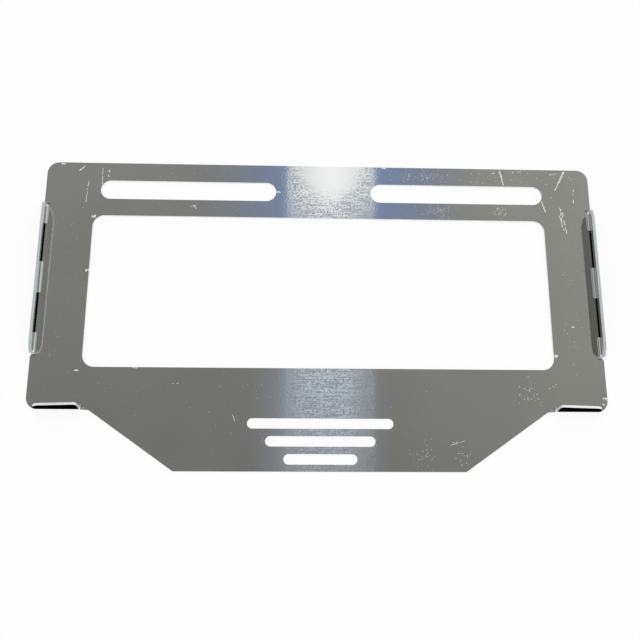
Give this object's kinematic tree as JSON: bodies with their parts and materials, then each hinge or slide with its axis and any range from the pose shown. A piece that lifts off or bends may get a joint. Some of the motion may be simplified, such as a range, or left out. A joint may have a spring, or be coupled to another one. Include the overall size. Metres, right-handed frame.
{
  "type": "license plate holder",
  "caption": "Folded stainless sheet holder for a motorbike number plate, with a large window, long bolt slots, perforated side flanges and lower tabs.",
  "frame": {"origin": "under the middle of the sheet's bounding box, on the plane of its back face", "axes": "+Z from the back face toward the number plate, along the standing folds; +Y from the apron with the three bars toward the edge with the two bolt slots; +X across, to the right for someone looking at the plate"},
  "size_m": [0.24, 0.1334, 0.0082],
  "materials": {
    "polished_sheet": "mirror-polished stainless sheet with bright laser-cut edges"
  },
  "bodies": {
    "root": {"plate_holder": "polished_sheet"}
  },
  "joints": []
}
